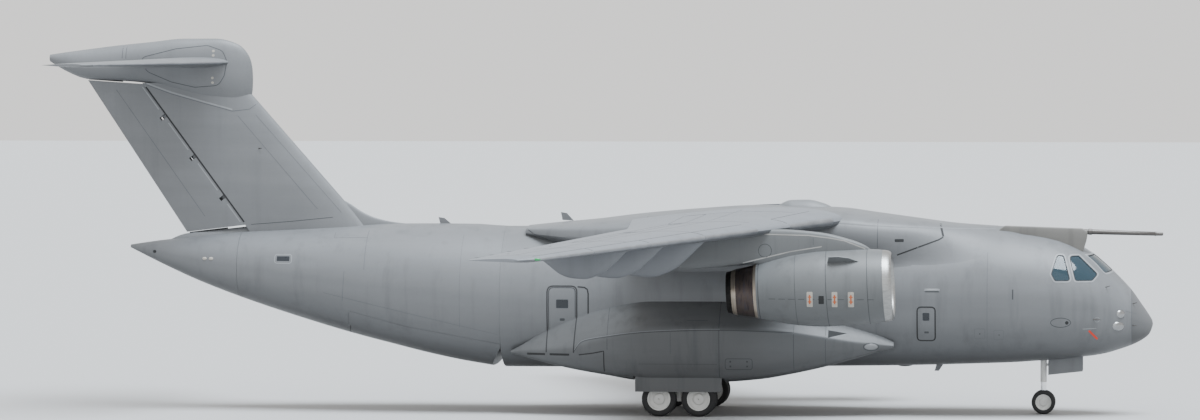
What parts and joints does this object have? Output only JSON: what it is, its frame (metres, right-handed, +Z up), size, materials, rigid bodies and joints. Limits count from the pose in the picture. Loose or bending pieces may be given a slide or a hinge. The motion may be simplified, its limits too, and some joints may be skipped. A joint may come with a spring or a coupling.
{
  "type": "military transport plane",
  "caption": "Full-size grey military transport plane standing on its gear: high swept wing, underwing turbofans, T-tail, rear loading ramp and nose refuelling probe.",
  "frame": {"origin": "on the ground, in the middle of the bounding box seen from above", "axes": "+X towards the nose, +Y towards the left wing tip, +Z up"},
  "size_m": [35.5614, 35.05, 11.82],
  "materials": {
    "skin": "satin",
    "light_skin": "satin",
    "composite": "satin",
    "glass": "gloss",
    "hot_metal": "satin",
    "engine_block": "satin",
    "blades": "satin",
    "gear_paint": "satin",
    "tyre": "matte",
    "floor": "matte",
    "interior": "matte"
  },
  "bodies": {
    "airframe": {"radome": "composite", "cockpit_shell": "skin", "windshield": "glass", "side_window_front_left": "glass", "side_window_front_right": "glass", "side_window_rear_left": "glass", "side_window_rear_right": "glass", "forward_fuselage": "skin", "centre_fuselage": "skin", "paratroop_door_left": "light_skin", "paratroop_door_right": "light_skin", "tail_section": "light_skin", "tail_cone": "composite", "cargo_floor": "floor", "flight_deck": "interior", "wing_fairing": "composite", "wing_left": "light_skin", "wing_right": "light_skin", "flap_left": "composite", "flap_right": "composite", "pylon_left": "light_skin", "pylon_right": "light_skin", "nacelle_left": "composite", "nacelle_right": "composite", "exhaust_nozzle_left": "hot_metal", "exhaust_nozzle_right": "hot_metal", "engine_core_left": "engine_block", "engine_core_right": "engine_block", "fin": "composite", "tail_bullet": "composite", "tailplane": "composite", "sponson_left": "composite", "sponson_right": "composite", "main_gear_leg_left": "gear_paint", "main_gear_leg_right": "gear_paint", "main_gear_door_left": "composite", "main_gear_door_right": "composite", "nose_gear_leg": "gear_paint", "nose_gear_door_left": "composite", "nose_gear_door_right": "composite", "refuelling_probe": "light_skin"},
    "ramp": {"ramp": "composite", "ramp_wall_left": "composite", "ramp_wall_right": "composite"},
    "cargo_door": {"cargo_door": "light_skin"},
    "crew_door": {"crew_door": "skin"},
    "aileron_left": {"aileron_left": "composite"},
    "aileron_right": {"aileron_right": "composite"},
    "elevator_left": {"elevator_left": "composite"},
    "elevator_right": {"elevator_right": "composite"},
    "rudder": {"rudder": "composite"},
    "fan_left": {"fan_left": "blades"},
    "fan_right": {"fan_right": "blades"},
    "main_wheels_front_left": {"main_wheels_front_left": "tyre"},
    "main_wheels_front_right": {"main_wheels_front_right": "tyre"},
    "main_wheels_rear_left": {"main_wheels_rear_left": "tyre"},
    "main_wheels_rear_right": {"main_wheels_rear_right": "tyre"},
    "nose_gear_fork": {"nose_gear_fork": "gear_paint"},
    "nose_wheels": {"nose_wheels": "tyre"}
  },
  "joints": [
    {"name": "ramp_hinge", "type": "hinge", "parent": "airframe", "child": "ramp", "pos_m": [-2.935, 0, 2.09], "axis": [0, -1, 0], "range_deg": [0, 28]},
    {"name": "cargo_door_hinge", "type": "hinge", "parent": "airframe", "child": "cargo_door", "pos_m": [-11.26, 0, 3.66], "axis": [0, -1, 0], "range_deg": [0, 33]},
    {"name": "crew_door_hinge", "type": "hinge", "parent": "airframe", "child": "crew_door", "pos_m": [10.55, 1.9097, 2.2], "axis": [-1, 0, 0], "range_deg": [0, 110]},
    {"name": "aileron_left_hinge", "type": "hinge", "parent": "airframe", "child": "aileron_left", "pos_m": [-0.35699, 14.685, 5.55175], "axis": [-0.3244, 0.945, -0.0428], "range_deg": [-25, 25]},
    {"name": "aileron_right_hinge", "type": "hinge", "parent": "airframe", "child": "aileron_right", "pos_m": [-0.35699, -14.685, 5.55175], "axis": [0.3244, 0.945, 0.0428], "range_deg": [-25, 25]},
    {"name": "elevator_left_hinge", "type": "hinge", "parent": "airframe", "child": "elevator_left", "pos_m": [-15.25536, 3.3, 11.00546], "axis": [-0.3137, 0.9494, -0.0157], "range_deg": [-18, 28]},
    {"name": "elevator_right_hinge", "type": "hinge", "parent": "airframe", "child": "elevator_right", "pos_m": [-15.25536, -3.3, 11.00546], "axis": [0.3137, 0.9494, 0.0157], "range_deg": [-18, 28]},
    {"name": "rudder_hinge", "type": "hinge", "parent": "airframe", "child": "rudder", "pos_m": [-12.98998, 0, 7.945], "axis": [-0.5935, 0, 0.8049], "range_deg": [-25, 25]},
    {"name": "fan_left_spin", "type": "hinge", "parent": "airframe", "child": "fan_left", "pos_m": [8.48132, 5.7, 4.20511], "axis": [0.9988, 0, 0.0482], "continuous": true},
    {"name": "fan_right_spin", "type": "hinge", "parent": "airframe", "child": "fan_right", "pos_m": [8.48132, -5.7, 4.20511], "axis": [0.9988, 0, 0.0482], "continuous": true},
    {"name": "main_wheels_front_left_spin", "type": "hinge", "parent": "airframe", "child": "main_wheels_front_left", "pos_m": [3.39, 2.25, 0.545], "axis": [0, 1, 0], "continuous": true},
    {"name": "main_wheels_front_right_spin", "type": "hinge", "parent": "airframe", "child": "main_wheels_front_right", "pos_m": [3.39, -2.25, 0.545], "axis": [0, 1, 0], "continuous": true},
    {"name": "main_wheels_rear_left_spin", "type": "hinge", "parent": "airframe", "child": "main_wheels_rear_left", "pos_m": [2.15, 2.25, 0.545], "axis": [0, 1, 0], "continuous": true},
    {"name": "main_wheels_rear_right_spin", "type": "hinge", "parent": "airframe", "child": "main_wheels_rear_right", "pos_m": [2.15, -2.25, 0.545], "axis": [0, 1, 0], "continuous": true},
    {"name": "nose_steering", "type": "hinge", "parent": "airframe", "child": "nose_gear_fork", "pos_m": [14.05, 0, 0.375], "axis": [0, 0, 1], "range_deg": [-60, 60]},
    {"name": "nose_wheels_spin", "type": "hinge", "parent": "nose_gear_fork", "child": "nose_wheels", "pos_m": [14.05, 0, 0.375], "axis": [0, 1, 0], "continuous": true}
  ],
  "couplings": [
    {"joint": "aileron_right_hinge", "follows": "aileron_left_hinge", "ratio": -1},
    {"joint": "elevator_right_hinge", "follows": "elevator_left_hinge", "ratio": 1}
  ]
}
